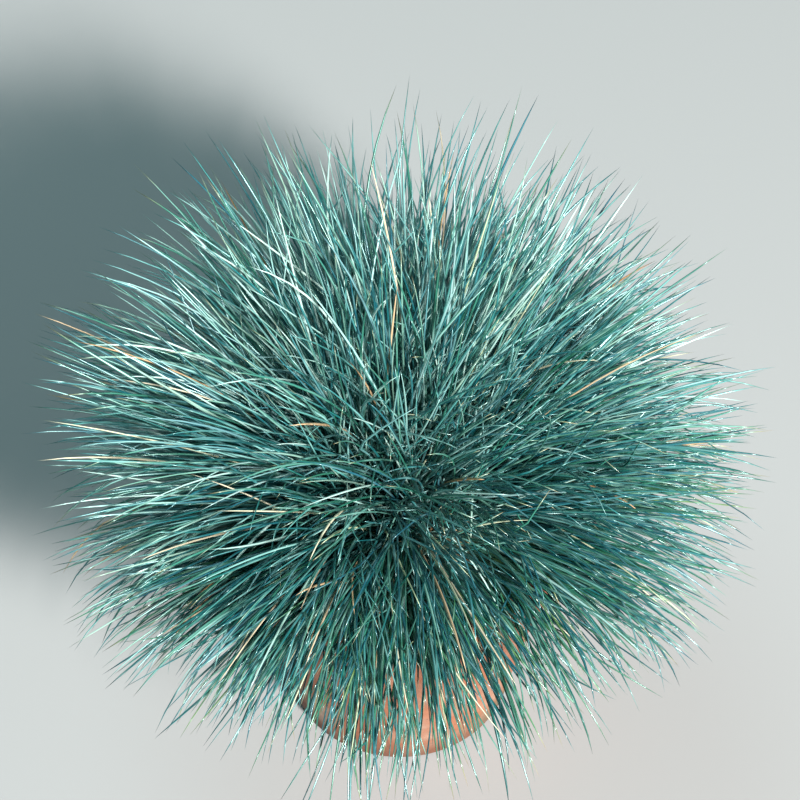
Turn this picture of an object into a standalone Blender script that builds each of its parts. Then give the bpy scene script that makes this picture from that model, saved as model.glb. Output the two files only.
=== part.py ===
"""A clump of blue fescue grass growing in a plain clay pot.

Metres, +Z up. The origin is the middle of the pot's flat underside.
The grass is a crown of shoot bases with separate tufts standing on it in rings. Each tuft is one closed
spear that follows the bend of its leaves and reaches their tips.
"""

import math
import random

import bmesh
import bpy
from mathutils import Vector

# the pot
POT_HEIGHT = 0.135
POT_FOOT_RADIUS = 0.052
POT_SHOULDER_RADIUS = 0.0715  # outside of the body, just under the rim band
RIM_BAND_HEIGHT = 0.026
RIM_BOTTOM_RADIUS = 0.0765
RIM_TOP_RADIUS = 0.079
MOUTH_RADIUS = 0.0705
FLOOR_RADIUS = 0.0455  # inside, where the wall meets the floor
FLOOR_THICKNESS = 0.009
FOOT_ROUNDING = 0.002
SHOULDER_ROUNDING = 0.001
BAND_ROUNDING = 0.0018
LIP_ROUNDING = 0.0028
FLOOR_ROUNDING = 0.004
POT_SEGMENTS = 64
DRAIN_HOLES = 3
HOLE_SIDES = 20
CUTTER_DEPTH = 3 * FLOOR_THICKNESS  # so that a drain hole's cutter passes both faces of the floor
DRAIN_RADIUS = 0.006
DRAIN_CIRCLE_RADIUS = 0.026

# the soil and the crown of shoot bases that sits on it
GAP = 0.0003  # between neighbouring pieces
SOIL_TOP = 0.129
SOIL_FLAT_RADIUS = 0.052
SOIL_EDGE_DROP = 0.004  # the soil sinks this much towards the wall
CROWN_RADIUS = 0.044
CROWN_HEIGHT = 0.018
CROWN_SEGMENTS = 40
CROWN_ARC_STEPS = 7

# the tufts: (name, how many, lean from upright in degrees, leaf length)
TUFT_RINGS = (
    ("centre", 1, 0.0, 0.160),
    ("inner", 5, 24.0, 0.158),
    ("middle", 9, 47.0, 0.142),
    ("outer", 12, 69.0, 0.122),
)
WIDEST_LEAN = math.radians(86.0)  # the lean at the crown's edge
BEND_AT_EDGE = math.radians(44.0)  # how far a leaf leaning at WIDEST_LEAN bows from base to tip
CROWN_CLEARANCE = 0.0012  # from the crown's surface to a tuft's base
BASE_RADIUS = 0.0042
BELLY_RADIUS = 0.0180  # a tuft's radius where it is fullest
BELLY_AT = 0.68  # share of the length
TIP_RADIUS = 0.0030
TUFT_SIDES = 8
TUFT_STEPS = 8
LEAN_JITTER = math.radians(1.6)
TURN_JITTER = 0.10  # share of the angle between neighbours in a ring
LENGTH_JITTER = 0.05
SHADE_JITTER = 0.15
STRAIGHT = math.radians(0.0001)  # a leaf that bends less than this is straight
SHARP_EDGE = math.radians(40)
WELD_DISTANCE = 0.00001

# finishes: (colour, roughness)
CLAY = ((0.30, 0.11, 0.055), 0.85)
SOIL_BROWN = ((0.045, 0.030, 0.020), 0.95)
STRAW = ((0.36, 0.30, 0.17), 0.80)
LEAF_BLUE = ((0.11, 0.23, 0.22), 0.45)


def clear_scene():
    for item in list(bpy.data.objects):
        bpy.data.objects.remove(item, do_unlink=True)


def make_material(name, finish, shade=1.0):
    colour, roughness = finish
    material = bpy.data.materials.new(name)
    material.use_nodes = True
    shader = material.node_tree.nodes["Principled BSDF"]
    shader.inputs["Base Color"].default_value = (*(part * shade for part in colour), 1.0)
    shader.inputs["Roughness"].default_value = roughness
    shader.inputs["Metallic"].default_value = 0.0
    return material


def add_object(name, mesh, material):
    thing = bpy.data.objects.new(name, mesh)
    bpy.context.scene.collection.objects.link(thing)
    mesh.materials.append(material)
    return thing


def rounded(corners, steps=3):
    """Points of an outline given as (radius, height, rounding) corners, with each rounded corner an arc."""
    points = []
    for index, (across, up, rounding) in enumerate(corners):
        here = Vector((across, up))
        if rounding == 0.0:
            points.append(here)
            continue
        before = Vector(corners[index - 1][:2]) - here
        after = Vector(corners[index + 1][:2]) - here
        half = before.angle(after) / 2
        reach = rounding / math.tan(half)
        start = here + before.normalized() * reach
        end = here + after.normalized() * reach
        centre = here + (before.normalized() + after.normalized()).normalized() * (rounding / math.sin(half))
        for step in range(steps + 1):
            spoke = (start - centre).lerp(end - centre, step / steps)
            points.append(centre + spoke.normalized() * rounding)
    return points


def turned_mesh(name, outline, segments):
    """A solid of revolution. The outline starts and ends on the Z axis and runs up the outer side."""
    shape = bmesh.new()
    row = [shape.verts.new((point.x, 0.0, point.y)) for point in outline]
    edges = [shape.edges.new(pair) for pair in zip(row, row[1:])]
    bmesh.ops.spin(
        shape,
        geom=row + edges,
        cent=(0, 0, 0),
        axis=(0, 0, 1),
        angle=math.tau,
        steps=segments,
        use_merge=True,
    )
    bmesh.ops.remove_doubles(shape, verts=shape.verts, dist=WELD_DISTANCE)
    bmesh.ops.recalc_face_normals(shape, faces=shape.faces)
    mesh = bpy.data.meshes.new(name)
    shape.to_mesh(mesh)
    shape.free()
    mesh.shade_smooth()
    mesh.set_sharp_from_angle(angle=SHARP_EDGE)
    return mesh


def build_pot():
    rim_bottom = POT_HEIGHT - RIM_BAND_HEIGHT
    outline = rounded(
        [
            (0.0, 0.0, 0.0),
            (POT_FOOT_RADIUS, 0.0, FOOT_ROUNDING),
            (POT_SHOULDER_RADIUS, rim_bottom, SHOULDER_ROUNDING),
            (RIM_BOTTOM_RADIUS, rim_bottom, BAND_ROUNDING),
            (RIM_TOP_RADIUS, POT_HEIGHT, LIP_ROUNDING),
            (MOUTH_RADIUS, POT_HEIGHT, LIP_ROUNDING),
            (FLOOR_RADIUS, FLOOR_THICKNESS, FLOOR_ROUNDING),
            (0.0, FLOOR_THICKNESS, 0.0),
        ]
    )
    pot = add_object("pot", turned_mesh("pot", outline, POT_SEGMENTS), make_material("fired clay", CLAY))
    for index in range(DRAIN_HOLES):
        turn = math.tau * index / DRAIN_HOLES
        shape = bmesh.new()
        bmesh.ops.create_cone(
            shape,
            cap_ends=True,
            segments=HOLE_SIDES,
            radius1=DRAIN_RADIUS,
            radius2=DRAIN_RADIUS,
            depth=CUTTER_DEPTH,
        )
        mesh = bpy.data.meshes.new("drain hole")
        shape.to_mesh(mesh)
        shape.free()
        cutter = bpy.data.objects.new(f"drain_hole_{index + 1}", mesh)
        bpy.context.scene.collection.objects.link(cutter)
        cutter.location = (
            DRAIN_CIRCLE_RADIUS * math.cos(turn),
            DRAIN_CIRCLE_RADIUS * math.sin(turn),
            FLOOR_THICKNESS / 2,
        )
        cutter.hide_render = True
        cutter.display_type = "WIRE"
        cut = pot.modifiers.new(f"drain hole {index + 1}", "BOOLEAN")
        cut.operation = "DIFFERENCE"
        cut.object = cutter


def build_soil():
    wall_slope = (MOUTH_RADIUS - FLOOR_RADIUS) / (POT_HEIGHT - FLOOR_THICKNESS)
    edge_height = SOIL_TOP - SOIL_EDGE_DROP
    corner = FLOOR_ROUNDING + 2 * GAP  # clears the rounded corner between wall and floor
    bottom = FLOOR_THICKNESS + GAP
    outline = rounded(
        [
            (0.0, bottom, 0.0),
            (FLOOR_RADIUS - GAP, bottom, corner),
            (MOUTH_RADIUS - (POT_HEIGHT - edge_height) * wall_slope - 2 * GAP, edge_height, 0.0),
            (SOIL_FLAT_RADIUS, SOIL_TOP, 0.0),
            (0.0, SOIL_TOP, 0.0),
        ]
    )
    add_object("soil", turned_mesh("soil", outline, POT_SEGMENTS), make_material("soil", SOIL_BROWN))


def build_crown():
    bottom = SOIL_TOP + GAP
    outline = [Vector((0.0, bottom))]
    for step in range(CROWN_ARC_STEPS + 1):
        angle = math.pi / 2 * step / CROWN_ARC_STEPS
        outline.append(Vector((CROWN_RADIUS * math.cos(angle), bottom + CROWN_HEIGHT * math.sin(angle))))
    add_object("crown", turned_mesh("crown", outline, CROWN_SEGMENTS), make_material("sheaths", STRAW))


def leaf_point(lean, turn, distance, length):
    """Where a leaf is at a distance from its base: it leaves the crown at its lean and bows outwards."""
    bend = BEND_AT_EDGE * math.sin(lean) / length  # radians per metre
    on_crown = lean / WIDEST_LEAN * math.pi / 2
    across = (CROWN_RADIUS + CROWN_CLEARANCE) * math.sin(on_crown)
    up = SOIL_TOP + GAP + (CROWN_HEIGHT + CROWN_CLEARANCE) * math.cos(on_crown)
    if bend * length < STRAIGHT:
        across += distance * math.sin(lean)
        up += distance * math.cos(lean)
    else:
        across += (math.cos(lean) - math.cos(lean + bend * distance)) / bend
        up += (math.sin(lean + bend * distance) - math.sin(lean)) / bend
    return Vector((across * math.cos(turn), across * math.sin(turn), up))


def tuft_radius(share):
    """A tuft's radius at a share of its length: slim at the base, full in the middle, slim at the tips."""
    if share < BELLY_AT:
        swell = math.sin(math.pi / 2 * share / BELLY_AT) ** 2
        return BASE_RADIUS + (BELLY_RADIUS - BASE_RADIUS) * swell
    fall = math.sin(math.pi / 2 * (share - BELLY_AT) / (1 - BELLY_AT)) ** 2
    return BELLY_RADIUS + (TIP_RADIUS - BELLY_RADIUS) * fall


def side_point(lean, turn, distance, length, offset, angle):
    """A point beside a tuft's middle line, offset in the two directions in which leans spread."""
    spread = offset / (CROWN_RADIUS + distance)
    down = lean + spread * math.cos(angle)
    around = spread * math.sin(angle)
    # a small turn on the sphere of leans, which also works at the upright middle
    aim = Vector(
        (
            math.sin(down) * math.cos(around),
            math.sin(around),
            math.cos(down) * math.cos(around),
        )
    )
    tilt = math.acos(max(-1.0, min(1.0, aim.z)))
    swing = math.atan2(aim.y, aim.x)
    return leaf_point(tilt, turn + swing, distance, length)


def build_tuft(name, lean, turn, length, shade):
    shape = bmesh.new()
    rings = []
    for step in range(TUFT_STEPS + 1):
        share = step / TUFT_STEPS
        ring = []
        for side in range(TUFT_SIDES):
            angle = math.tau * side / TUFT_SIDES
            point = side_point(lean, turn, share * length, length, tuft_radius(share), angle)
            ring.append(shape.verts.new(point))
        rings.append(ring)
    for lower, upper in zip(rings, rings[1:]):
        for side in range(TUFT_SIDES):
            after = (side + 1) % TUFT_SIDES
            shape.faces.new((lower[side], lower[after], upper[after], upper[side]))
    base = shape.verts.new(leaf_point(lean, turn, 0.0, length))
    tip = shape.verts.new(leaf_point(lean, turn, length + TIP_RADIUS, length))
    for side in range(TUFT_SIDES):
        after = (side + 1) % TUFT_SIDES
        shape.faces.new((rings[0][after], rings[0][side], base))
        shape.faces.new((rings[-1][side], rings[-1][after], tip))
    bmesh.ops.triangulate(shape, faces=shape.faces)
    bmesh.ops.recalc_face_normals(shape, faces=shape.faces)
    mesh = bpy.data.meshes.new(name)
    shape.to_mesh(mesh)
    shape.free()
    mesh.shade_smooth()
    add_object(name, mesh, make_material(name, LEAF_BLUE, shade))


def build_tufts():
    chance = random.Random(11)
    for ring_index, (ring, count, lean_degrees, length) in enumerate(TUFT_RINGS):
        stagger = 0.5 * (ring_index % 2)  # every other ring stands half a step round
        for index in range(count):
            turn = math.tau * (index + stagger) / count
            lean = math.radians(lean_degrees)
            if count > 1:
                turn += math.tau / count * chance.uniform(-TURN_JITTER, TURN_JITTER)
                lean += chance.uniform(-LEAN_JITTER, LEAN_JITTER)
            own_length = length * (1 + chance.uniform(-LENGTH_JITTER, LENGTH_JITTER))
            shade = chance.uniform(1 - SHADE_JITTER, 1 + SHADE_JITTER)
            name = f"tuft_{ring}" if count == 1 else f"tuft_{ring}_{index + 1}"
            build_tuft(name, lean, turn, own_length, shade)


clear_scene()
build_pot()
build_soil()
build_crown()
build_tufts()
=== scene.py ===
import math

import bmesh
import bpy
import numpy as np
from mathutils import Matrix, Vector, noise


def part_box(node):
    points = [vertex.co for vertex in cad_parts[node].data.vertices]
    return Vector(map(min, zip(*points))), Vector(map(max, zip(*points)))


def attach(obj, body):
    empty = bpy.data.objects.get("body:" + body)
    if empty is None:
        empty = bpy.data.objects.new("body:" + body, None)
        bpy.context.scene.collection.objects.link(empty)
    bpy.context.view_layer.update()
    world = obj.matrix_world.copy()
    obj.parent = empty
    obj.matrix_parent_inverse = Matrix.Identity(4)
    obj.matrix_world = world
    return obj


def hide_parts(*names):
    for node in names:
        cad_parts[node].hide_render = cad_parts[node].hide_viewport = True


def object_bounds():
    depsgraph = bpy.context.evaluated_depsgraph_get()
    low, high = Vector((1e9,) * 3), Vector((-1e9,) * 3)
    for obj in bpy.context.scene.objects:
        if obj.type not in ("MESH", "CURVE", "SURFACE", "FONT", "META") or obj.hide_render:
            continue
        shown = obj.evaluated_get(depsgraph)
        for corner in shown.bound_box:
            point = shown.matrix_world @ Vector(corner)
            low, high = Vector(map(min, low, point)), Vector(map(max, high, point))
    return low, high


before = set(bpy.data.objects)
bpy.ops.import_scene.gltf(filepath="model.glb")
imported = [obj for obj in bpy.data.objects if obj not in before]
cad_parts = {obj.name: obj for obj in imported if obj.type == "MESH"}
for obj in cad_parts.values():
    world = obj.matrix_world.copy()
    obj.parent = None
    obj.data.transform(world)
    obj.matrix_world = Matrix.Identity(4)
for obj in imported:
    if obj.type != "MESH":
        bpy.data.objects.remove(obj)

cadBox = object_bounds()
potLow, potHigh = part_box("pot")
soilLow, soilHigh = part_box("soil")
crownLow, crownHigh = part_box("crown")
crownRadius = (crownHigh.x - crownLow.x) / 2
crownHeight = crownHigh.z - crownLow.z
print("frame loaded")


# camera, floor and lights
viewSpec = {
    "elevation": 50,  # degrees above the horizon
    "distance": 1.05,
    "frameWidth": 0.345,  # metres across the view at the crown
    "crownDown": 0.0925,  # the crown's middle below the middle of the view, in shares of its width
    "sensor": 36,
}


def addCamera(spec):
    rise = math.radians(spec["elevation"])
    toCamera = Vector((0, -math.cos(rise), math.sin(rise)))
    upInView = Vector((0, math.sin(rise), math.cos(rise)))
    aim = Vector((0, 0, crownHigh.z))
    aim += upInView * spec["crownDown"] * spec["frameWidth"]
    data = bpy.data.cameras.new("camera")
    data.sensor_width = spec["sensor"]
    data.lens = spec["sensor"] * spec["distance"] / spec["frameWidth"]
    camera = bpy.data.objects.new("camera", data)
    bpy.context.scene.collection.objects.link(camera)
    camera.location = aim + toCamera * spec["distance"]
    camera.rotation_euler = (math.pi / 2 - rise, 0, 0)
    bpy.context.scene.camera = camera


lightSpec = {
    "key": {"turn": -58, "rise": 32, "away": 5.0, "size": 0.67, "watts": 820, "colour": (1.0, 0.98, 0.95)},
    "fill": {"turn": 130, "rise": 58, "away": 1.6, "size": 1.2, "watts": 12, "colour": (0.75, 0.97, 1.0)},
    "sky": {"colour": (0.28, 0.80, 0.88), "strength": 0.19},
    "floor": {"size": 8.0, "colour": (0.32, 0.32, 0.32), "roughness": 0.9},
}


def addLights(spec, aim):
    for name in ("key", "fill"):
        values = spec[name]
        turn = math.radians(values["turn"])
        rise = math.radians(values["rise"])
        data = bpy.data.lights.new(name, "AREA")
        data.shape = "DISK"
        data.size = values["size"]
        data.energy = values["watts"]
        data.color = values["colour"]
        lamp = bpy.data.objects.new(name, data)
        bpy.context.scene.collection.objects.link(lamp)
        spoke = Vector((math.cos(rise) * math.cos(turn), math.cos(rise) * math.sin(turn), math.sin(rise)))
        lamp.location = aim + spoke * values["away"]
        lamp.rotation_euler = (aim - lamp.location).to_track_quat("-Z", "Y").to_euler()
    world = bpy.data.worlds.new("studio")
    world.use_nodes = True
    background = world.node_tree.nodes["Background"]
    background.inputs["Color"].default_value = (*spec["sky"]["colour"], 1)
    background.inputs["Strength"].default_value = spec["sky"]["strength"]
    bpy.context.scene.world = world


def addFloor(spec):
    shape = bmesh.new()
    bmesh.ops.create_grid(shape, x_segments=1, y_segments=1, size=spec["size"] / 2)
    mesh = bpy.data.meshes.new("floor")
    shape.to_mesh(mesh)
    shape.free()
    floor = bpy.data.objects.new("floor", mesh)
    bpy.context.scene.collection.objects.link(floor)
    material = bpy.data.materials.new("pale floor")
    material.use_nodes = True
    shader = material.node_tree.nodes["Principled BSDF"]
    shader.inputs["Base Color"].default_value = (*spec["colour"], 1)
    shader.inputs["Roughness"].default_value = spec["roughness"]
    mesh.materials.append(material)


bpy.context.scene.view_settings.view_transform = "Standard"
addCamera(viewSpec)
addLights(lightSpec, Vector((0, 0, crownHigh.z)))
addFloor(lightSpec["floor"])
print("camera, lights and floor ready")


# helpers for pieces
def makePiece(name, mesh, material, replaced=()):
    piece = bpy.data.objects.new(name, mesh)
    bpy.context.scene.collection.objects.link(piece)
    mesh.materials.clear()
    mesh.materials.append(material)
    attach(piece, "root")
    if replaced:
        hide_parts(*replaced)
    return piece


def unit(rows):
    return rows / np.maximum(np.linalg.norm(rows, axis=-1, keepdims=True), 1e-12)


# helpers for materials
def startMaterial(name):
    material = bpy.data.materials.new(name)
    material.use_nodes = True
    tree = material.node_tree
    return material, tree, tree.nodes["Principled BSDF"]


def feed(tree, socket, value):
    if isinstance(value, bpy.types.NodeSocket):
        tree.links.new(value, socket)
    elif isinstance(value, tuple) and socket.type == "RGBA":
        socket.default_value = (*value, 1)
    else:
        socket.default_value = value


def ramp(tree, factor, stops):
    node = tree.nodes.new("ShaderNodeValToRGB")
    elements = node.color_ramp.elements
    while len(elements) < len(stops):
        elements.new(0.5)
    for element, (place, colour) in zip(elements, stops):
        element.position = place
        element.color = (*colour, 1) if isinstance(colour, tuple) else (colour, colour, colour, 1)
    tree.links.new(factor, node.inputs["Fac"])
    return node.outputs["Color"]


def mixColour(tree, factor, first, second, blend="MIX"):
    node = tree.nodes.new("ShaderNodeMix")
    node.data_type = "RGBA"
    node.blend_type = blend
    feed(tree, node.inputs[0], factor)
    feed(tree, node.inputs[6], first)
    feed(tree, node.inputs[7], second)
    return node.outputs[2]


def maths(tree, operation, first, second=0.0):
    node = tree.nodes.new("ShaderNodeMath")
    node.operation = operation
    feed(tree, node.inputs[0], first)
    feed(tree, node.inputs[1], second)
    return node.outputs[0]


def noiseOf(tree, place, scale, detail=3):
    node = tree.nodes.new("ShaderNodeTexNoise")
    node.inputs["Detail"].default_value = detail
    feed(tree, node.inputs["Scale"], scale)
    tree.links.new(place, node.inputs["Vector"])
    return node.outputs["Fac"]


def spanned(tree, value, low, high):
    node = tree.nodes.new("ShaderNodeMapRange")
    feed(tree, node.inputs["Value"], value)
    feed(tree, node.inputs["From Min"], low)
    feed(tree, node.inputs["From Max"], high)
    return node.outputs["Result"]


def bumped(tree, shader, height, strength, distance):
    node = tree.nodes.new("ShaderNodeBump")
    node.inputs["Strength"].default_value = strength
    node.inputs["Distance"].default_value = distance
    tree.links.new(height, node.inputs["Height"])
    tree.links.new(node.outputs["Normal"], shader.inputs["Normal"])


def startGroup(name, inputs, outputs):
    group = bpy.data.node_groups.new(name, "ShaderNodeTree")
    for label, kind in inputs:
        group.interface.new_socket(name=label, in_out="INPUT", socket_type=kind)
    for label in outputs:
        group.interface.new_socket(name=label, in_out="OUTPUT", socket_type="NodeSocketFloat")
    return group, group.nodes.new("NodeGroupInput"), group.nodes.new("NodeGroupOutput")


def useGroup(tree, group, values):
    node = tree.nodes.new("ShaderNodeGroup")
    node.node_tree = group
    for label, value in values.items():
        feed(tree, node.inputs[label], value)
    return node.outputs


# blotches of any size, on Object coordinates
def mottleGroup():
    group, entry, leave = startGroup(
        "mottle",
        (("Scale", "NodeSocketFloat"), ("Low", "NodeSocketFloat"), ("High", "NodeSocketFloat")),
        ("Mask",),
    )
    place = group.nodes.new("ShaderNodeTexCoord").outputs["Object"]
    cloud = noiseOf(group, place, entry.outputs["Scale"], detail=5)
    group.links.new(spanned(group, cloud, entry.outputs["Low"], entry.outputs["High"]), leave.inputs["Mask"])
    return group


# streaks along a leaf or a sheath: across its map runs the tint, up it the share of its length
def fibreGroup(mapName):
    group, entry, leave = startGroup(
        "fibre",
        (("Lines", "NodeSocketFloat"), ("Patches", "NodeSocketFloat")),
        ("Tint", "Along", "Line", "Patch", "Own"),
    )
    node = group.nodes.new("ShaderNodeUVMap")
    node.uv_map = mapName
    parts = group.nodes.new("ShaderNodeSeparateXYZ")
    group.links.new(node.outputs["UV"], parts.inputs["Vector"])
    tint, along = parts.outputs["X"], parts.outputs["Y"]

    def cloudAt(across, up, detail):
        joined = group.nodes.new("ShaderNodeCombineXYZ")
        feed(group, joined.inputs["X"], across)
        feed(group, joined.inputs["Y"], up)
        return noiseOf(group, joined.outputs["Vector"], 1.0, detail)

    lines = maths(group, "MULTIPLY", tint, entry.outputs["Lines"])
    patches = maths(group, "MULTIPLY", along, entry.outputs["Patches"])
    group.links.new(tint, leave.inputs["Tint"])
    group.links.new(along, leave.inputs["Along"])
    group.links.new(cloudAt(lines, along, 2), leave.inputs["Line"])
    group.links.new(cloudAt(maths(group, "MULTIPLY", lines, 0.3), patches, 3), leave.inputs["Patch"])
    group.links.new(cloudAt(maths(group, "MULTIPLY", lines, 0.21), 7.3, 0), leave.inputs["Own"])
    return group


leafMapName = "OFBake"
mottle = mottleGroup()
fibre = fibreGroup(leafMapName)
print("node groups ready")


# leaves, straw and sheaths share one long shape; its section is drawn out along Z and closed in a point
def masterBlade(section, rings):
    shape = bmesh.new()
    corner = shape.verts.layers.int.new("corner")
    verts = [shape.verts.new((x, y, 0)) for x, y in section]
    for index, vert in enumerate(verts):
        vert[corner] = index
    face = shape.faces.new(verts)
    for ring in range(1, rings):
        made = bmesh.ops.extrude_face_region(shape, geom=[face])["geom"]
        if ring > 1:  # the last end is inside now
            bmesh.ops.delete(shape, geom=[face], context="FACES_ONLY")
        top = [item for item in made if isinstance(item, bmesh.types.BMVert)]
        face = [item for item in made if isinstance(item, bmesh.types.BMFace)][0]
        bmesh.ops.translate(shape, verts=top, vec=(0, 0, 1 / (rings - 1)))
    bmesh.ops.pointmerge(shape, verts=top, merge_co=(0, 0, 1))
    bmesh.ops.recalc_face_normals(shape, faces=shape.faces)
    # extruding leaves its own order, so corners and faces are put in one that is the same at each run
    shape.verts.sort(key=lambda vert: round(vert.co.z, 6) * 1000 + vert[corner])
    shape.verts.index_update()
    sides = len(verts)
    loops, totals, marks = [], [], []
    for item in sorted(shape.faces, key=lambda face: sorted(vert.index for vert in face.verts)):
        corners = sorted({loop.vert[corner] for loop in item.loops if loop.vert.co.z < 1})
        cap = len(corners) > 2
        start = sides - 1 if corners == [0, sides - 1] else corners[0]
        totals.append(len(item.loops))
        around = list(item.loops)
        lowest = min(range(len(around)), key=lambda place: around[place].vert.index)
        for loop in around[lowest:] + around[:lowest]:
            loops.append(loop.vert.index)
            step = (loop.vert[corner] - start) % sides
            across = 0.5 if cap else (start + (0.5 if loop.vert.co.z >= 1 else step)) / sides
            marks.append((across, loop.vert.co.z))
    master = {
        "points": np.array([vert.co[:] for vert in shape.verts]),
        "loops": np.array(loops),
        "totals": np.array(totals),
        "marks": np.array(marks),
    }
    master["shares"] = np.unique(master["points"][:, 2].round(6))
    master["ring"] = np.searchsorted(master["shares"], master["points"][:, 2].round(6))
    shape.free()
    return master


def joinCopies(name, master, points, columns):
    # points holds one row of placed corners for each copy, columns the copy's place and width in the map
    copies, count = points.shape[:2]
    mesh = bpy.data.meshes.new(name)
    loops = (master["loops"][None] + np.arange(copies)[:, None] * count).ravel()
    totals = np.tile(master["totals"], copies)
    mesh.vertices.add(copies * count)
    mesh.vertices.foreach_set("co", points.astype(np.float32).ravel())
    mesh.loops.add(len(loops))
    mesh.loops.foreach_set("vertex_index", loops.astype(np.int32))
    mesh.polygons.add(len(totals))
    mesh.polygons.foreach_set("loop_start", np.concatenate(([0], np.cumsum(totals)[:-1])).astype(np.int32))
    mesh.update(calc_edges=True)
    layer = mesh.uv_layers.new(name=leafMapName)
    across = columns[:, :1] + (master["marks"][None, :, 0] - 0.5) * columns[:, 1:]
    along = np.broadcast_to(master["marks"][None, :, 1], across.shape)
    layer.data.foreach_set("uv", np.stack((across, along), -1).astype(np.float32).ravel())
    mesh.shade_smooth()
    mesh.validate()
    return mesh


def columnsFor(tint, low=0.0, high=1.0):
    # copies stand side by side in the map in order of tint, so that neighbours there look alike
    order = np.argsort(np.argsort(tint))
    each = (high - low) / len(tint)
    return np.stack((low + (order + 0.5) * each, np.full(len(tint), 0.9 * each)), -1)


# the curves that leaves follow
kinkSharpness = 60  # the larger, the shorter the stretch of leaf that a kink takes


def startingAims(lean, turn):
    return np.stack((np.sin(lean) * np.cos(turn), np.sin(lean) * np.sin(turn), np.cos(lean)), -1)


def leafCurves(feet, aim, length, habit, shares):
    # the middle line, direction and side of many leaves at once, as (leaf, share, xyz)
    up = np.array((0.0, 0.0, 1.0))
    flat = unit(aim - aim[:, 2:] * up + 1e-9)
    lean = np.arccos(np.clip(aim[:, 2], -1, 1))
    down = flat * np.cos(lean)[:, None] - up * np.sin(lean)[:, None]
    cross = np.cross(aim, down)
    turnTo = down * np.cos(habit["side"])[:, None] + cross * np.sin(habit["side"])[:, None]
    binormal = np.cross(aim, turnTo)
    angle = habit["bend"][:, None] * shares[None] ** habit["bow"][:, None]
    wave = habit["sway"][:, None] * np.sin(habit["waves"][:, None] * shares[None] + habit["phase"][:, None])
    fold = habit["kink"][:, None] / (1 + np.exp(-(shares[None] - habit["kinkAt"][:, None]) * kinkSharpness))
    foldTo = turnTo * np.cos(habit["kinkTo"])[:, None] + binormal * np.sin(habit["kinkTo"])[:, None]
    direction = unit(
        np.cos(angle)[..., None] * aim[:, None]
        + np.sin(angle)[..., None] * turnTo[:, None]
        + wave[..., None] * binormal[:, None]
        + fold[..., None] * foldTo[:, None]
    )
    step = np.diff(shares)[None, :, None] * length[:, None, None]
    travel = np.cumsum((direction[:, :-1] + direction[:, 1:]) / 2 * step, axis=1)
    line = feet[:, None] + np.concatenate((np.zeros((len(feet), 1, 3)), travel), 1)
    side = unit(binormal[:, None] - direction * np.sum(direction * binormal[:, None], -1, keepdims=True))
    return line, direction, side


roomSpec = {
    "reach": 0.001,  # leaves may stand this far outside the box of the solids
    "uneven": 0.10,  # how much shorter still a shortened leaf may be
    "rimInner": 0.88,  # where the rim starts, as a share of its outer radius
    "rimWidth": 0.003,  # added to the rim on both sides
    "rimLift": 0.0025,  # leaves stay this far above the pot's rim
    "lift": 0.10,  # how much a leaf that cuts the rim is raised at each try
    "tries": 5,
}


def roomyCurves(feet, aim, length, habit, shares, chance, spec=roomSpec):
    # lifts the leaves that would cut the rim and shortens the ones that leave the plant's outline
    rimOut = potHigh.x + spec["rimWidth"]
    rimIn = potHigh.x * spec["rimInner"] - spec["rimWidth"]
    for attempt in range(spec["tries"]):
        line, direction, side = leafCurves(feet, aim, length, habit, shares)
        across = np.linalg.norm(line[..., :2], axis=-1)
        low = (across > rimIn) & (across < rimOut) & (line[..., 2] < potHigh.z + spec["rimLift"])
        cut = low.any(1)
        aim = unit(aim + cut[:, None] * np.array((0, 0, spec["lift"])))
    widest = min(-cadBox[0][0], cadBox[1][0], -cadBox[0][1], cadBox[1][1]) + spec["reach"]
    highest = cadBox[1][2] + spec["reach"]
    across = np.linalg.norm(line[..., :2] - feet[:, None, :2], axis=-1)
    room = widest - np.linalg.norm(feet[:, :2], axis=-1)
    shareOut = np.min(room[:, None] / np.maximum(across, 1e-9), axis=1)
    rise = line[..., 2] - feet[:, None, 2]
    shareUp = np.min(np.where(rise > 0, (highest - feet[:, None, 2]) / np.maximum(rise, 1e-9), 9), axis=1)
    fit = np.minimum(shareOut, shareUp)
    fit = np.where(fit < 1, fit * chance.uniform(1 - spec["uneven"], 1, len(fit)), 1.0)
    line = feet[:, None] + (line - feet[:, None]) * fit[:, None, None]
    return line, direction, side


def placeBlades(master, curves, halfWidth, roll, twist, taper):
    # sweeps the master along each middle line
    line, direction, side = curves
    shares, ring = master["shares"], master["ring"]
    face = np.cross(direction, side)
    angle = roll[:, None] + twist[:, None] * shares[None]
    cos, sin = np.cos(angle)[..., None], np.sin(angle)[..., None]
    across = side * cos + face * sin
    out = face * cos - side * sin
    width = (halfWidth[:, None] * taper(shares)[None])[:, ring, None]
    return (
        line[:, ring]
        + across[:, ring] * width * master["points"][None, :, :1]
        + out[:, ring] * width * master["points"][None, :, 1:2]
    )


crownEdge = 0.95  # leaves start within this share of the crown's radius


def crownPoint(points):
    # lifts or drops points onto the crown's dome
    reach = np.linalg.norm(points[..., :2], axis=-1) / crownRadius
    shrink = np.minimum(crownEdge / np.maximum(reach, 1e-9), 1.0)
    flat = points[..., :2] * shrink[..., None]
    up = crownLow.z + crownHeight * np.sqrt(1 - np.minimum(reach, crownEdge) ** 2)
    return np.concatenate((flat, up[..., None]), -1)


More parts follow.
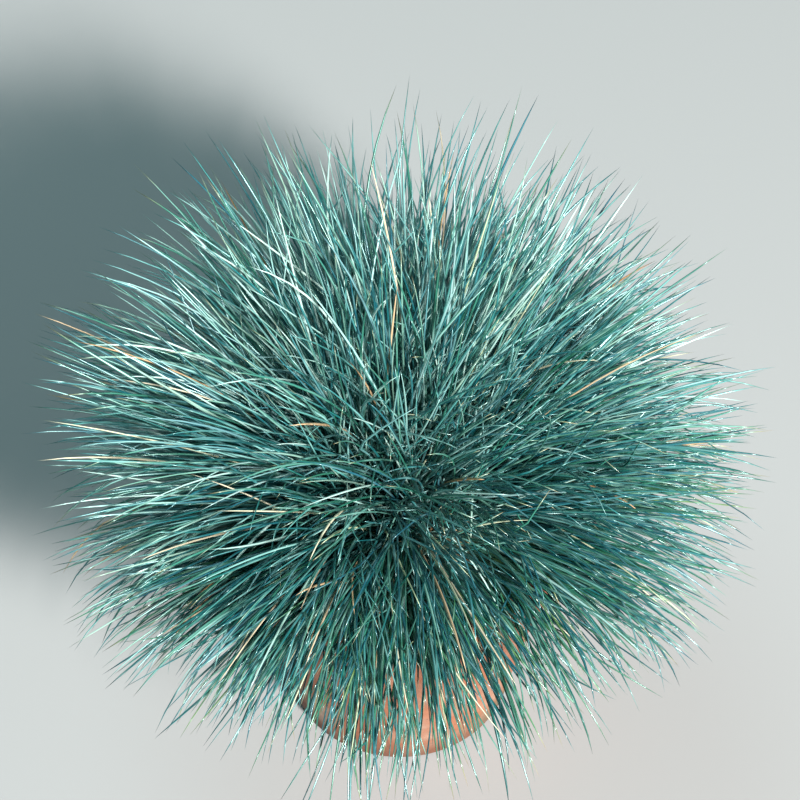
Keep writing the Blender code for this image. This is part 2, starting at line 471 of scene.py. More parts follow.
# leaves
leafSpec = {
    "halfWidth": 0.00052,
    "section": ((-1.0, 0.0), (0.0, -0.85), (1.0, 0.0), (0.0, 0.85)),  # a leaf rolled up like a thread
    "rings": 13,
    "footTaper": {"start": 0.80, "gain": 0.20, "over": 0.1},  # widths and places as shares
    "tipTaper": {"from": 0.70, "over": 0.30, "loss": 0.85, "curve": 2.2},
    "streaks": {"Lines": 900.0, "Patches": 7.0},
    "tints": (
        (0.00, (0.11, 0.19, 0.05)),
        (0.04, (0.03, 0.14, 0.06)),
        (0.14, (0.006, 0.10, 0.075)),
        (0.32, (0.002, 0.055, 0.070)),
        (0.56, (0.008, 0.115, 0.122)),
        (0.72, (0.05, 0.23, 0.22)),
        (0.86, (0.26, 0.47, 0.44)),
        (1.00, (0.58, 0.76, 0.69)),
    ),
    "bloom": (0.34, 0.58, 0.54),  # the waxy bloom
    "blue": (0.02, 0.115, 0.175),
    "green": (0.04, 0.18, 0.10),
    "sheath": (0.55, 0.46, 0.27),
    "tip": (0.42, 0.30, 0.14),
    "blueLeaves": ((0.58, 0.0), (0.72, 0.6)),  # each is a ramp: where in the noise, how much
    "greenLeaves": ((0.35, 0.6), (0.45, 0.0)),
    "dryLeaves": ((0.30, 0.9), (0.40, 0.0)),
    "bloomPatches": ((0.47, 0.0), (0.78, 0.55)),
    "footFade": ((0.0, 1.0), (0.05, 0.8), (0.17, 0.0)),  # up the leaf
    "tipFade": ((0.90, 0.0), (0.99, 1.0)),
    "roughness": ((0.3, 0.24), (0.75, 0.38)),
    "refraction": 1.6,
    "specular": 0.95,
    "sheen": (0.76, 1.0, 0.98),
    "bump": (0.12, 0.0001),  # strength and depth
}


def leafTaper(shares):
    foot, tip = leafSpec["footTaper"], leafSpec["tipTaper"]
    width = foot["start"] + foot["gain"] * np.clip(shares / foot["over"], 0, 1)
    return width * (1 - tip["loss"] * np.clip((shares - tip["from"]) / tip["over"], 0, 1) ** tip["curve"])


def leafMaterial(spec):
    material, tree, shader = startMaterial("glaucous leaf")
    streak = useGroup(tree, fibre, spec["streaks"])
    colour = ramp(tree, streak["Tint"], spec["tints"])
    colour = mixColour(tree, ramp(tree, streak["Own"], spec["blueLeaves"]), colour, spec["blue"])
    colour = mixColour(tree, ramp(tree, streak["Own"], spec["greenLeaves"]), colour, spec["green"])
    colour = mixColour(tree, ramp(tree, streak["Patch"], spec["bloomPatches"]), colour, spec["bloom"])
    colour = mixColour(tree, ramp(tree, streak["Along"], spec["footFade"]), colour, spec["sheath"])
    dry = ramp(tree, streak["Own"], spec["dryLeaves"])
    dryTip = maths(tree, "MULTIPLY", ramp(tree, streak["Along"], spec["tipFade"]), dry)
    colour = mixColour(tree, dryTip, colour, spec["tip"])
    tree.links.new(colour, shader.inputs["Base Color"])
    tree.links.new(ramp(tree, streak["Patch"], spec["roughness"]), shader.inputs["Roughness"])
    shader.inputs["IOR"].default_value = spec["refraction"]
    shader.inputs["Specular IOR Level"].default_value = spec["specular"]
    shader.inputs["Specular Tint"].default_value = (*spec["sheen"], 1)
    bumped(tree, shader, streak["Line"], *spec["bump"])
    return material


# how the leaves grow in each tuft
growSpec = {
    "tillers": 15,  # shoots in one tuft
    "leaves": {"outer": 14, "middle": 13, "inner": 10, "centre": 7},  # on one shoot
    "footSpread": 0.0100,  # how far a tuft's shoots stand from its middle
    "footJitter": 0.0013,
    "leafSpread": 0.0013,
    "fan": 0.044,  # shoots lean apart as if they grew from a point this far below
    "tillerWander": 0.13,  # radians
    "leafWander": 0.080,
    "lowestAim": 0.16,
    "uprightLean": 0.50,  # tufts that lean less than this are more tangled
    "tangle": {"shoots": 1.0, "leaves": 0.8, "strays": 4, "kinks": 2},  # how much more of each they have
    "strayShare": 0.06,
    "strayWander": 0.42,
    "kinkShare": 0.04,
    "strawShare": 0.025,
    "shortest": 0.55,
    "longest": 1.06,
    "shortfall": 1.6,  # the larger, the more leaves are near the longest
    "reach": 1.03,  # both are shares of the solid's length times this
    "unevenness": 0.22,  # how much shorter than the tuft a whole shoot may be
    "sink": 0.004,  # the leaves start this far inside the crown
    "tintRange": {"outer": (0.0, 0.92), "middle": (0.08, 1.0), "inner": (0.28, 1.0), "centre": (0.34, 1.0)},
    "paintedLightSide": (-0.40, 0.75, 0.15),  # painted light: leaves of tufts that point this way get paler tints, and those of tufts that point the opposite way darker ones, as painted shade
    "paintedLightShare": 0.52,
    "paintedShadeShare": 1.5,
    "tuftTint": 0.06,  # spread of the tints between tufts, shoots and leaves
    "shootTint": 0.15,
    "leafTint": 0.20,
    "shootRoll": 0.8,  # radians
    "leafRoll": 0.5,
    "leafTwist": 0.7,
    "widths": (0.70, 1.2),
    "shootBend": (0.35, 1.35),  # shares of the solid's bend
    "leafBend": (0.8, 1.2),  # shares of the shoot's
    "hang": 0.10,  # more bend for leaning and long leaves
    "bendSpread": 0.05,  # radians
    "tangledBend": 0.30,
    "bow": (1.0, 2.0),
    "sideways": 0.30,  # how far from straight down a leaf may bow
    "uprightSideways": 1.3,
    "sidewaysLean": 0.55,
    "sway": 0.018,
    "kink": (0.4, 1.2),
    "kinkAt": (0.3, 0.85),
    "solidFoot": 0.002,  # the part of a tuft's solid that counts as its foot
    "solidBelly": (0.42, 0.62),  # and as its middle, in shares of its length
}
swayWaves = (2, 6)  # radians along a leaf
swayStart = (0, 6)


def spineOf(node):
    # a tuft's foot, its directions at the foot and at the tip, and its length, from its solid
    points = np.array([vert.co[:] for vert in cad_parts[node].data.vertices])
    middle = np.array((0, 0, crownLow.z))
    away = np.linalg.norm(points - middle, axis=1)
    low, high = away.min(), away.max()
    base = points[away < low + growSpec["solidFoot"]].mean(0)
    tip = points[away.argmax()]
    start, end = growSpec["solidBelly"]
    between = (away > low + start * (high - low)) & (away < low + end * (high - low))
    belly = points[between].mean(0)
    handle = 2 * belly - (base + tip) / 2
    return base, unit(handle - base), unit(tip - handle), np.linalg.norm(tip - base)


def growTuft(node, spec, chance, master):
    base, start, end, length = spineOf(node)
    tillers, leaves = spec["tillers"], spec["leaves"][node.split("_")[1]]
    count = tillers * leaves
    own = np.repeat(np.arange(tillers), leaves)
    # shoots stand on an even spiral round the tuft's middle
    order = np.arange(tillers) + 0.5
    out = spec["footSpread"] * np.sqrt(order / tillers)
    spiral = order * math.pi * (3 - math.sqrt(5)) + chance.uniform(0, math.tau)
    level = np.stack((out * np.cos(spiral), out * np.sin(spiral), 0 * order), -1)
    level[:, :2] += chance.normal(0, spec["footJitter"], (tillers, 2))
    feet = crownPoint(base[None] + level)
    offset = feet - crownPoint(base[None])
    upright = math.exp(-((math.acos(start[2]) / spec["uprightLean"]) ** 2))
    tangle = {name: 1 + more * upright for name, more in spec["tangle"].items()}
    tillerWander = spec["tillerWander"] * tangle["shoots"]
    tillerAim = unit(start[None] + offset / spec["fan"] + chance.normal(0, tillerWander, (tillers, 3)))
    solidBend = math.acos(float(np.clip(start @ end, -1, 1)))
    tillerBend = solidBend * chance.uniform(*spec["shootBend"], tillers)
    tillerTint = chance.normal(0, spec["shootTint"], tillers) + chance.normal(0, spec["tuftTint"])
    tillerRoll = chance.normal(0, spec["shootRoll"], tillers)
    feet = crownPoint(feet[own] + chance.normal(0, spec["leafSpread"], (count, 3)))
    stray = chance.random(count) < spec["strayShare"] * tangle["strays"]
    wander = np.where(stray, spec["strayWander"], spec["leafWander"] * tangle["leaves"])
    aim = unit(tillerAim[own] + chance.normal(0, 1, (count, 3)) * wander[:, None])
    aim[:, 2] = np.maximum(aim[:, 2], spec["lowestAim"])
    aim = unit(aim)
    feet = feet - aim * spec["sink"]
    lean = np.arccos(np.clip(aim[:, 2], -1, 1))
    longer = 1 - chance.random(count) ** spec["shortfall"]
    span = spec["shortest"] + (spec["longest"] - spec["shortest"]) * longer
    span *= 1 - spec["unevenness"] * chance.random(tillers)[own]
    bent = chance.random(count) < spec["kinkShare"] * tangle["kinks"]
    sideways = spec["sideways"] + spec["uprightSideways"] * np.exp(-((lean / spec["sidewaysLean"]) ** 2))
    habit = {
        "bend": tillerBend[own] * chance.uniform(*spec["leafBend"], count) + spec["hang"] * lean * span
        + chance.normal(0, spec["bendSpread"] + spec["tangledBend"] * upright, count),
        "bow": chance.uniform(*spec["bow"], count),
        "side": chance.normal(0, 1, count) * sideways,
        "sway": chance.normal(0, spec["sway"], count),
        "waves": chance.uniform(*swayWaves, count),
        "phase": chance.uniform(*swayStart, count),
        "kink": bent * chance.uniform(*spec["kink"], count),
        "kinkAt": chance.uniform(*spec["kinkAt"], count),
        "kinkTo": chance.uniform(0, math.tau, count),
    }
    curves = roomyCurves(feet, aim, length * spec["reach"] * span, habit, master["shares"], chance)
    placed = placeBlades(
        master,
        curves,
        leafSpec["halfWidth"] * chance.uniform(*spec["widths"], count),
        tillerRoll[own] + chance.normal(0, spec["leafRoll"], count),
        chance.normal(0, spec["leafTwist"], count),
        leafTaper,
    )
    straw = chance.random(count) < spec["strawShare"]
    tint = tillerTint[own] + chance.normal(0, spec["leafTint"], count)
    return placed, tint, straw


def tintRangeOf(node, spec):
    low, high = spec["tintRange"][node.split("_")[1]]
    # painted light and shade: tufts that point to the lit side get paler tints, those that point away darker
    # ones
    pale = float(spineOf(node)[1] @ np.array(spec["paintedLightSide"])) * spec["paintedLightShare"]
    return low + max(pale, 0), high + spec["paintedShadeShare"] * min(pale, 0)


blade = masterBlade(leafSpec["section"], leafSpec["rings"])
leaf = leafMaterial(leafSpec)
tuftNodes = sorted(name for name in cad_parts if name.startswith("tuft_"))
strawPoints, strawTints = [], []
for number, node in enumerate(tuftNodes):
    placed, tint, straw = growTuft(node, growSpec, np.random.default_rng(100 + number), blade)
    strawPoints.append(placed[straw])
    strawTints.append(tint[straw])
    keep = ~straw
    columns = columnsFor(tint[keep], *tintRangeOf(node, growSpec))
    mesh = joinCopies(node + "_leaves", blade, placed[keep], columns)
    makePiece(node + "_leaves", mesh, leaf, (node,))
print("leaves grown:", len(tuftNodes), "tufts")


# dry leaves
strawSpec = {
    "streaks": {"Lines": 500.0, "Patches": 11.0},
    "tints": (
        (0.00, (0.36, 0.17, 0.05)),
        (0.12, (0.46, 0.30, 0.16)),
        (0.55, (0.62, 0.56, 0.42)),
        (1.00, (0.42, 0.52, 0.32)),
    ),
    "spots": (0.34, 0.22, 0.13),
    "spotPatches": ((0.55, 0.0), (0.75, 0.6)),
    "roughness": ((0.3, 0.45), (0.75, 0.75)),
    "bump": (0.4, 0.0002),
}


def strawMaterial(spec):
    material, tree, shader = startMaterial("dry leaf")
    streak = useGroup(tree, fibre, spec["streaks"])
    colour = ramp(tree, streak["Tint"], spec["tints"])
    colour = mixColour(tree, ramp(tree, streak["Patch"], spec["spotPatches"]), colour, spec["spots"])
    tree.links.new(colour, shader.inputs["Base Color"])
    tree.links.new(ramp(tree, streak["Patch"], spec["roughness"]), shader.inputs["Roughness"])
    bumped(tree, shader, streak["Line"], *spec["bump"])
    return material


strawPoints = np.concatenate(strawPoints)
strawTints = np.concatenate(strawTints)
strawMesh = joinCopies("straw_leaves", blade, strawPoints, columnsFor(strawTints))
makePiece("straw_leaves", strawMesh, strawMaterial(strawSpec))
print("straw leaves:", len(strawPoints))


# short young leaves that cross over the middle of the crown
youngSpec = {
    "leaves": 900,
    "spread": 0.038,
    "shortest": 0.030,
    "longest": 0.118,
    "tintRange": (0.60, 1.0),
    "lean": (0.45, 0.38),  # middle and spread
    "mostLean": 1.25,
    "bend": (0.75, 0.55),
    "bow": (0.9, 1.8),
    "sideways": 1.5,
    "sway": 0.06,
    "kinkShare": 0.10,
    "kink": (0.4, 1.4),
    "kinkAt": (0.3, 0.8),
    "widths": (0.7, 1.15),
    "roll": 1.2,
    "twist": 1.2,
}


def growYoung(spec, chance, master):
    count = spec["leaves"]
    turn = chance.uniform(0, math.tau, count)
    out = spec["spread"] * np.sqrt(chance.random(count))
    feet = crownPoint(np.stack((out * np.cos(turn), out * np.sin(turn), 0 * out), -1))
    lean = np.abs(chance.normal(*spec["lean"], count))
    aim = startingAims(np.minimum(lean, spec["mostLean"]), chance.uniform(0, math.tau, count))
    feet = feet - aim * growSpec["sink"]
    habit = {
        "bend": np.abs(chance.normal(*spec["bend"], count)),
        "bow": chance.uniform(*spec["bow"], count),
        "side": chance.normal(0, spec["sideways"], count),
        "sway": chance.normal(0, spec["sway"], count),
        "waves": chance.uniform(*swayWaves, count),
        "phase": chance.uniform(*swayStart, count),
        "kink": (chance.random(count) < spec["kinkShare"]) * chance.uniform(*spec["kink"], count),
        "kinkAt": chance.uniform(*spec["kinkAt"], count),
        "kinkTo": chance.uniform(0, math.tau, count),
    }
    lengths = chance.uniform(spec["shortest"], spec["longest"], count)
    curves = roomyCurves(feet, aim, lengths, habit, master["shares"], chance)
    return placeBlades(
        master,
        curves,
        leafSpec["halfWidth"] * chance.uniform(*spec["widths"], count),
        chance.normal(0, spec["roll"], count),
        chance.normal(0, spec["twist"], count),
        leafTaper,
    )


young = growYoung(youngSpec, np.random.default_rng(7), blade)
youngTint = np.random.default_rng(8).normal(0, 1, len(young))
youngMesh = joinCopies("young_leaves", blade, young, columnsFor(youngTint, *youngSpec["tintRange"]))
makePiece("young_leaves", youngMesh, leaf)
print("young leaves:", len(young))


# the pot: a turned body with a banded rim, faint throwing lines and three drain holes
potSpec = {
    "segments": 128,
    "foot": 0.658,  # radii as shares of the rim's
    "shoulder": 0.905,
    "bandFoot": 0.968,
    "mouth": 0.892,
    "floor": 0.576,
    "band": 0.193,  # heights as shares of the pot's
    "floorUp": 0.0667,
    "roundings": {"foot": 0.002, "shoulder": 0.001, "band": 0.0018, "lip": 0.0028, "floor": 0.004},
    "arcSteps": 8,
    "wallStep": 0.002,
    "lineDepth": 0.00016,
    "linesApart": 0.0062,
    "lineTilt": 0.8,
    "swell": 0.00025,
    "swellScale": 22,
    "inset": 0.00012,
    "plainFoot": 0.98,  # the underside, within this share of the foot's radius, has no lines
    "plainLip": 0.004,
    "sharpAngle": 40,  # degrees
    "holes": 3,
    "holeRadius": 0.006,
    "holeCircle": 0.026,
    "holeSegments": 32,
    "clay": ((0.0, (0.14, 0.045, 0.022)), (0.45, (0.235, 0.078, 0.037)), (1.0, (0.33, 0.125, 0.064))),
    "bloom": (0.37, 0.30, 0.235),  # lime that has come through the clay
    "damp": (0.10, 0.042, 0.025),
    "moss": (0.07, 0.09, 0.035),
    "broad": {"Scale": 16.0, "Low": 0.25, "High": 0.75},
    "fine": {"Scale": 260.0, "Low": 0.3, "High": 0.7},
    "grit": {"Scale": 1100.0, "Low": 0.62, "High": 0.72},
    "limePatches": {"Scale": 42.0, "Low": 0.50, "High": 0.72},
    "mossPatches": {"Scale": 30.0, "Low": 0.58, "High": 0.70},
    "limeFoot": (0.065, 0.0),  # heights over which each fades in
    "limeRim": 0.012,
    "limeElsewhere": 0.28,
    "dampFoot": (0.022, 0.004),
    "mossFoot": (0.05, 0.01),
    "shares": {"fine": 0.30, "damp": 0.75, "moss": 0.5, "grit": 0.6},
    "roughness": ((0.0, 0.72), (1.0, 0.92)),
    "heights": {"fine": 0.6, "grit": -0.8},
    "bump": (0.5, 0.0004),
}


def roundedOutline(corners, arcSteps):
    # corners are (across, up, rounding)
    points = []
    for index, (across, up, rounding) in enumerate(corners):
        here = Vector((across, up))
        if rounding == 0:
            points.append(here)
            continue
        before = (Vector(corners[index - 1][:2]) - here).normalized()
        after = (Vector(corners[index + 1][:2]) - here).normalized()
        half = before.angle(after) / 2
        centre = here + (before + after).normalized() * rounding / math.sin(half)
        start = here + before * rounding / math.tan(half) - centre
        end = here + after * rounding / math.tan(half) - centre
        for step in range(arcSteps + 1):
            points.append(centre + start.lerp(end, step / arcSteps).normalized() * rounding)
    return points


def walked(points, step):
    # adds points along the long straight stretches
    fine = [points[0]]
    for before, after in zip(points, points[1:]):
        pieces = max(1, round((after - before).length / step))
        fine += [before.lerp(after, part / pieces) for part in range(1, pieces + 1)]
    return fine


sortAlong = Vector((1.0, 1.618, 2.718))


def turnedShape(outline, segments):
    shape = bmesh.new()
    row = [shape.verts.new((point.x, 0, point.y)) for point in outline]
    edges = [shape.edges.new(pair) for pair in zip(row, row[1:])]
    bmesh.ops.spin(
        shape,
        geom=row + edges,
        cent=(0, 0, 0),
        axis=(0, 0, 1),
        angle=math.tau,
        steps=segments,
        use_merge=True,
    )
    bmesh.ops.remove_doubles(shape, verts=shape.verts, dist=0.00001)
    bmesh.ops.recalc_face_normals(shape, faces=shape.faces)
    shape.verts.sort(key=lambda vert: vert.co.dot(sortAlong))  # the same order at each run
    shape.edges.sort(key=lambda edge: (edge.verts[0].co + edge.verts[1].co).dot(sortAlong))
    shape.faces.sort(key=lambda face: face.calc_center_median().dot(sortAlong))
    return shape


def toMesh(shape, name):
    mesh = bpy.data.meshes.new(name)
    shape.to_mesh(mesh)
    shape.free()
    mesh.shade_smooth()
    return mesh


def drilled(mesh, spec, floorUp):
    # cuts the drain holes through the pot's floor
    body = bpy.data.objects.new("pot blank", mesh)
    bpy.context.scene.collection.objects.link(body)
    shape = bmesh.new()
    for index in range(spec["holes"]):
        turn = math.tau * index / spec["holes"]
        made = bmesh.ops.create_cone(
            shape,
            cap_ends=True,
            segments=spec["holeSegments"],
            radius1=spec["holeRadius"],
            radius2=spec["holeRadius"],
            depth=3 * floorUp,
        )
        place = (spec["holeCircle"] * math.cos(turn), spec["holeCircle"] * math.sin(turn), floorUp / 2)
        bmesh.ops.translate(shape, verts=made["verts"], vec=place)
    cutter = bpy.data.objects.new("drills", toMesh(shape, "drills"))
    bpy.context.scene.collection.objects.link(cutter)
    cut = body.modifiers.new("drain holes", "BOOLEAN")
    cut.operation = "DIFFERENCE"
    cut.object = cutter
    bpy.context.view_layer.update()
    result = bpy.data.meshes.new_from_object(body.evaluated_get(bpy.context.evaluated_depsgraph_get()))
    result.name = "pot_body"
    for leftover in (body, cutter):
        bpy.data.objects.remove(leftover, do_unlink=True)
    return result


def potMesh(spec):
    rim, top = potHigh.x, potHigh.z
    band = top * (1 - spec["band"])
    rounding = spec["roundings"]
    corners = [
        (0, 0, 0),
        (rim * spec["foot"], 0, rounding["foot"]),
        (rim * spec["shoulder"], band, rounding["shoulder"]),
        (rim * spec["bandFoot"], band, rounding["band"]),
        (rim, top, rounding["lip"]),
        (rim * spec["mouth"], top, rounding["lip"]),
        (rim * spec["floor"], top * spec["floorUp"], rounding["floor"]),
        (0, top * spec["floorUp"], 0),
    ]
    outline = walked(roundedOutline(corners, spec["arcSteps"]), spec["wallStep"])
    mesh = toMesh(turnedShape(outline, spec["segments"]), "pot_body")
    mesh = drilled(mesh, spec, top * spec["floorUp"])
    for vert in mesh.vertices:  # throwing lines and a slight unevenness
        across = math.hypot(vert.co.x, vert.co.y)
        turn = math.atan2(vert.co.y, vert.co.x)
        if across < rim * spec["foot"] * spec["plainFoot"] or vert.co.z > top - spec["plainLip"]:
            continue
        lines = math.sin(math.tau * vert.co.z / spec["linesApart"] + spec["lineTilt"] * math.sin(turn))
        swell = noise.noise(Vector(vert.co) * spec["swellScale"]) * spec["swell"]
        change = lines * spec["lineDepth"] * 0.5 - spec["lineDepth"] * 0.5 + swell - spec["inset"]
        grow = 1 + change / across
        vert.co.x *= grow
        vert.co.y *= grow
    mesh.shade_smooth()
    mesh.set_sharp_from_angle(angle=math.radians(spec["sharpAngle"]))
    return mesh


def clayMaterial(spec):
    material, tree, shader = startMaterial("fired clay")
    parts = tree.nodes.new("ShaderNodeSeparateXYZ")
    place = tree.nodes.new("ShaderNodeTexCoord").outputs["Object"]
    tree.links.new(place, parts.inputs["Vector"])
    up = parts.outputs["Z"]
    share, heights = spec["shares"], spec["heights"]
    broad = useGroup(tree, mottle, spec["broad"])["Mask"]
    fine = useGroup(tree, mottle, spec["fine"])["Mask"]
    grit = useGroup(tree, mottle, spec["grit"])["Mask"]
    colour = ramp(tree, broad, spec["clay"])
    colour = mixColour(tree, maths(tree, "MULTIPLY", fine, share["fine"]), colour, spec["clay"][2][1])
    patches = useGroup(tree, mottle, spec["limePatches"])["Mask"]
    foot = spanned(tree, up, *spec["limeFoot"])
    rimTop = spanned(tree, up, potHigh.z - spec["limeRim"], potHigh.z)
    saltiest = maths(tree, "MAXIMUM", foot, rimTop)
    bloom = maths(tree, "MULTIPLY", patches, maths(tree, "MAXIMUM", saltiest, spec["limeElsewhere"]))
    colour = mixColour(tree, bloom, colour, spec["bloom"])
    damp = maths(tree, "MULTIPLY", spanned(tree, up, *spec["dampFoot"]), share["damp"])
    colour = mixColour(tree, damp, colour, spec["damp"])
    moss = useGroup(tree, mottle, spec["mossPatches"])["Mask"]
    moss = maths(tree, "MULTIPLY", moss, spanned(tree, up, *spec["mossFoot"]))
    colour = mixColour(tree, maths(tree, "MULTIPLY", moss, share["moss"]), colour, spec["moss"])
    colour = mixColour(tree, maths(tree, "MULTIPLY", grit, share["grit"]), colour, spec["damp"])
    tree.links.new(colour, shader.inputs["Base Color"])
    tree.links.new(ramp(tree, broad, spec["roughness"]), shader.inputs["Roughness"])
    fineHeight = maths(tree, "MULTIPLY", fine, heights["fine"])
    gritHeight = maths(tree, "MULTIPLY", grit, heights["grit"])
    bumped(tree, shader, maths(tree, "ADD", fineHeight, gritHeight), *spec["bump"])
    return material


makePiece("pot_body", potMesh(potSpec), clayMaterial(potSpec), ("pot",))
print("pot turned")


# the soil and the crumbs that lie on it
soilSpec = {
    "segments": 128,
    "flat": 0.052,
    "edgeDrop": 0.004,
    "topStep": 0.0012,
    "footGap": 0.004,  # from the pot's wall at the floor
    "low": 0.0006,  # the surface lies this far under the solid's, on average
    "lumps": 0.0016,
    "lumpScales": ((160, 0.6), (420, 0.4)),  # size and share of each noise
    "crumbs": 1500,
    "crumbSizes": (0.0006, 0.0024),
    "browns": ((0.0, (0.012, 0.008, 0.006)), (0.55, (0.045, 0.030, 0.020)), (1.0, (0.13, 0.085, 0.055))),
    "grit": (0.42, 0.40, 0.36),
    "broad": {"Scale": 120.0, "Low": 0.3, "High": 0.7},
    "fine": {"Scale": 900.0, "Low": 0.3, "High": 0.7},
    "specks": {"Scale": 620.0, "Low": 0.70, "High": 0.74},
    "roughness": ((0.0, 0.80), (1.0, 0.98)),
    "bump": (0.8, 0.0006),
    "crumbBroad": {"Scale": 300.0, "Low": 0.3, "High": 0.7},
    "crumbFine": {"Scale": 1400.0, "Low": 0.3, "High": 0.7},
    "paleCrumbs": {"Scale": 90.0, "Low": 0.66, "High": 0.70},
    "crumbRoughness": ((0.0, 0.75), (1.0, 0.95)),
    "crumbBump": (0.6, 0.0003),
}


def lumpsAt(place, scales):
    (broad, broadShare), (fine, fineShare) = scales
    return noise.noise(place * broad) * broadShare + noise.noise(place * fine) * fineShare


def soilHeight(x, y, spec):
    edge = max(0.0, (math.hypot(x, y) - spec["flat"]) / (soilHigh.x - spec["flat"]))
    lumps = lumpsAt(Vector((x, y, 0)), spec["lumpScales"]) * spec["lumps"] * 0.5
    return soilHigh.z - spec["edgeDrop"] * edge - spec["low"] + lumps


def soilMesh(spec):
    edge = soilHigh.z - spec["edgeDrop"]
    row = [Vector((0, soilLow.z)), Vector((potHigh.x * potSpec["floor"] - spec["footGap"], soilLow.z))]
    top = [Vector((soilHigh.x, edge)), Vector((spec["flat"], soilHigh.z)), Vector((0, soilHigh.z))]
    shape = turnedShape(row + walked(top, spec["topStep"]), spec["segments"])
    for vert in shape.verts:
        if vert.co.z > edge - 0.0001 and math.hypot(vert.co.x, vert.co.y) < soilHigh.x - 0.0004:
            vert.co.z = soilHeight(vert.co.x, vert.co.y, spec)
    return toMesh(shape, "soil_surface")


def crumbMaster():
    shape = bmesh.new()
    bmesh.ops.create_icosphere(shape, subdivisions=1, radius=1)
    shape.verts.index_update()
    points = np.array([vert.co[:] for vert in shape.verts])
    loops = [loop.vert.index for face in shape.faces for loop in face.loops]
    totals = [len(face.loops) for face in shape.faces]
    marks = [(0.5, (loop.vert.co.z + 1) / 2) for face in shape.faces for loop in face.loops]
    shape.free()
    return {
        "points": points,
        "loops": np.array(loops),
        "totals": np.array(totals),
        "marks": np.array(marks),
    }


def scatterCrumbs(spec, chance, master):
    count = spec["crumbs"]
    inner, outer = crownRadius * 0.9, soilHigh.x - 0.003
    out = np.sqrt(chance.uniform(inner ** 2, outer ** 2, count))
    turn = chance.uniform(0, math.tau, count)
    x, y = out * np.cos(turn), out * np.sin(turn)
    smallest, largest = spec["crumbSizes"]
    size = smallest + (largest - smallest) * chance.random(count) ** 3
    up = np.array([soilHeight(a, b, spec) for a, b in zip(x, y)]) + size * 0.25
    stretch = chance.uniform(0.55, 1.25, (count, 1, 3)) * size[:, None, None]
    rough = 1 + chance.normal(0, 0.14, (count, len(master["points"]), 1))
    spin = chance.uniform(0, math.tau, count)
    cos, sin = np.cos(spin)[:, None], np.sin(spin)[:, None]
    points = master["points"][None] * rough * stretch
    across = points[..., 0] * cos - points[..., 1] * sin
    along = points[..., 0] * sin + points[..., 1] * cos
    turned = np.stack((across, along, points[..., 2]), -1)
    return turned + np.stack((x, y, up), -1)[:, None]


def soilMaterial(spec):
    material, tree, shader = startMaterial("potting soil")
    broad = useGroup(tree, mottle, spec["broad"])["Mask"]
    fine = useGroup(tree, mottle, spec["fine"])["Mask"]
    specks = useGroup(tree, mottle, spec["specks"])["Mask"]
    colour = mixColour(tree, specks, ramp(tree, broad, spec["browns"]), spec["grit"])
    tree.links.new(colour, shader.inputs["Base Color"])
    tree.links.new(ramp(tree, fine, spec["roughness"]), shader.inputs["Roughness"])
    bumped(tree, shader, fine, *spec["bump"])
    return material


def crumbMaterial(spec):
    material, tree, shader = startMaterial("soil crumbs")
    broad = useGroup(tree, mottle, spec["crumbBroad"])["Mask"]
    fine = useGroup(tree, mottle, spec["crumbFine"])["Mask"]
    pale = useGroup(tree, mottle, spec["paleCrumbs"])["Mask"]
    colour = mixColour(tree, pale, ramp(tree, broad, spec["browns"]), spec["grit"])
    tree.links.new(colour, shader.inputs["Base Color"])
    tree.links.new(ramp(tree, fine, spec["crumbRoughness"]), shader.inputs["Roughness"])
    bumped(tree, shader, fine, *spec["crumbBump"])
    return material


makePiece("soil_surface", soilMesh(soilSpec), soilMaterial(soilSpec), ("soil",))
crumb = crumbMaster()
crumbs = scatterCrumbs(soilSpec, np.random.default_rng(3), crumb)
crumbMesh = joinCopies("soil_crumbs", crumb, crumbs, columnsFor(np.arange(len(crumbs))))
makePiece("soil_crumbs", crumbMesh, crumbMaterial(soilSpec))
print("soil filled, crumbs:", len(crumbs))


# the crown: a low dome of matted shoot bases, with the dry sheaths that stand on it
crownSpec = {
    "segments": 96,
    "arcSteps": 26,
    "fuzz": 0.0012,
    "fuzzScales": ((380, 0.6), (900, 0.4)),
    "fuzzDown": 0.7,
    "sheaths": 1300,
    "sheathEdge": 0.97,
    "outwardLean": 1.35,
    "mostLean": 1.42,
    "sheathSink": 0.003,
    "section": ((-1.0, 0.0), (-0.35, -0.75), (0.6, -0.7), (1.0, 0.1), (0.2, 0.8)),
    "rings": 5,
    "halfWidth": 0.0010,
    "lengths": (0.008, 0.026),
    "tints": (
        (0.00, (0.16, 0.09, 0.045)),
        (0.30, (0.32, 0.22, 0.11)),
        (0.65, (0.50, 0.41, 0.25)),
        (1.00, (0.62, 0.56, 0.42)),
    ),
    "shade": (0.09, 0.06, 0.03),
    "streaks": {"Lines": 1400.0, "Patches": 4.0},
    "shadeLines": ((0.5, 0.0), (0.7, 0.5)),
    "roughness": ((0.3, 0.55), (0.7, 0.85)),
    "bump": (0.5, 0.0003),
    "matBroad": {"Scale": 220.0, "Low": 0.35, "High": 0.65},
    "matFine": {"Scale": 900.0, "Low": 0.3, "High": 0.7},
    "matRoughness": ((0.0, 0.7), (1.0, 0.95)),
    "matBump": (0.8, 0.0006),
}


def crownMesh(spec):
    arc = []
    for step in range(spec["arcSteps"] + 1):
        angle = math.pi / 2 * step / spec["arcSteps"]
        height = crownLow.z + crownHeight * math.sin(angle)
        arc.append(Vector((crownRadius * math.cos(angle), height)))
    shape = turnedShape([Vector((0, crownLow.z))] + arc, spec["segments"])
    for vert in shape.verts:
        if vert.co.z > crownLow.z + 0.001:
            push = lumpsAt(vert.co, spec["fuzzScales"]) - spec["fuzzDown"]
            vert.co += vert.co.normalized() * push * spec["fuzz"]
    return toMesh(shape, "crown_mat")


def sheathTaper(shares):
    return 0.75 + 0.35 * np.sin(shares * math.pi * 0.9) - 0.35 * shares ** 4


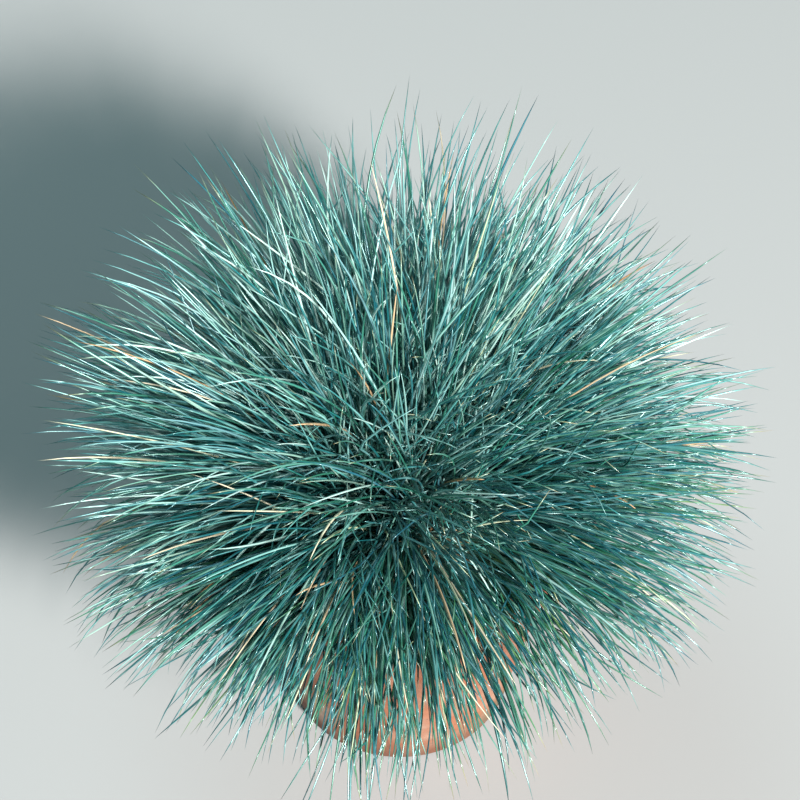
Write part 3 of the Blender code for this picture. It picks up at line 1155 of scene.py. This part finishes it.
def growSheaths(spec, chance, master):
    count = spec["sheaths"]
    out = crownRadius * spec["sheathEdge"] * np.sqrt(chance.random(count))
    turn = chance.uniform(0, math.tau, count)
    feet = crownPoint(np.stack((out * np.cos(turn), out * np.sin(turn), 0 * out), -1))
    lean = out / crownRadius * spec["outwardLean"] + chance.normal(0, 0.16, count)
    lean = np.clip(lean, 0, spec["mostLean"])
    aim = startingAims(lean, turn + chance.normal(0, 0.25, count))
    feet = feet - aim * spec["sheathSink"]
    none = np.zeros(count)
    habit = {
        "bend": chance.normal(0.1, 0.15, count),
        "bow": np.ones(count),
        "side": chance.normal(0, 1.0, count),
        "sway": none,
        "waves": none,
        "phase": none,
        "kink": none,
        "kinkAt": none + 0.5,
        "kinkTo": none,
    }
    curves = roomyCurves(feet, aim, chance.uniform(*spec["lengths"], count), habit, master["shares"], chance)
    width = spec["halfWidth"] * chance.uniform(0.55, 1.15, count)
    return placeBlades(master, curves, width, chance.uniform(0, math.tau, count), none, sheathTaper)


def sheathMaterial(spec):
    material, tree, shader = startMaterial("dry sheaths")
    streak = useGroup(tree, fibre, spec["streaks"])
    colour = ramp(tree, streak["Tint"], spec["tints"])
    colour = mixColour(tree, ramp(tree, streak["Line"], spec["shadeLines"]), colour, spec["shade"])
    tree.links.new(colour, shader.inputs["Base Color"])
    tree.links.new(ramp(tree, streak["Patch"], spec["roughness"]), shader.inputs["Roughness"])
    bumped(tree, shader, streak["Line"], *spec["bump"])
    return material


def matMaterial(spec):
    material, tree, shader = startMaterial("matted shoot bases")
    broad = useGroup(tree, mottle, spec["matBroad"])["Mask"]
    fine = useGroup(tree, mottle, spec["matFine"])["Mask"]
    colour = ramp(tree, broad, ((0.0, spec["shade"]), (1.0, spec["tints"][1][1])))
    tree.links.new(colour, shader.inputs["Base Color"])
    tree.links.new(ramp(tree, fine, spec["matRoughness"]), shader.inputs["Roughness"])
    bumped(tree, shader, fine, *spec["matBump"])
    return material


makePiece("crown_mat", crownMesh(crownSpec), matMaterial(crownSpec), ("crown",))
sheath = masterBlade(crownSpec["section"], crownSpec["rings"])
sheaths = growSheaths(crownSpec, np.random.default_rng(5), sheath)
sheathTint = np.random.default_rng(6).normal(0, 1, len(sheaths))
sheathMesh = joinCopies("dry_sheaths", sheath, sheaths, columnsFor(sheathTint))
makePiece("dry_sheaths", sheathMesh, sheathMaterial(crownSpec))
print("crown grown, sheaths:", len(sheaths))
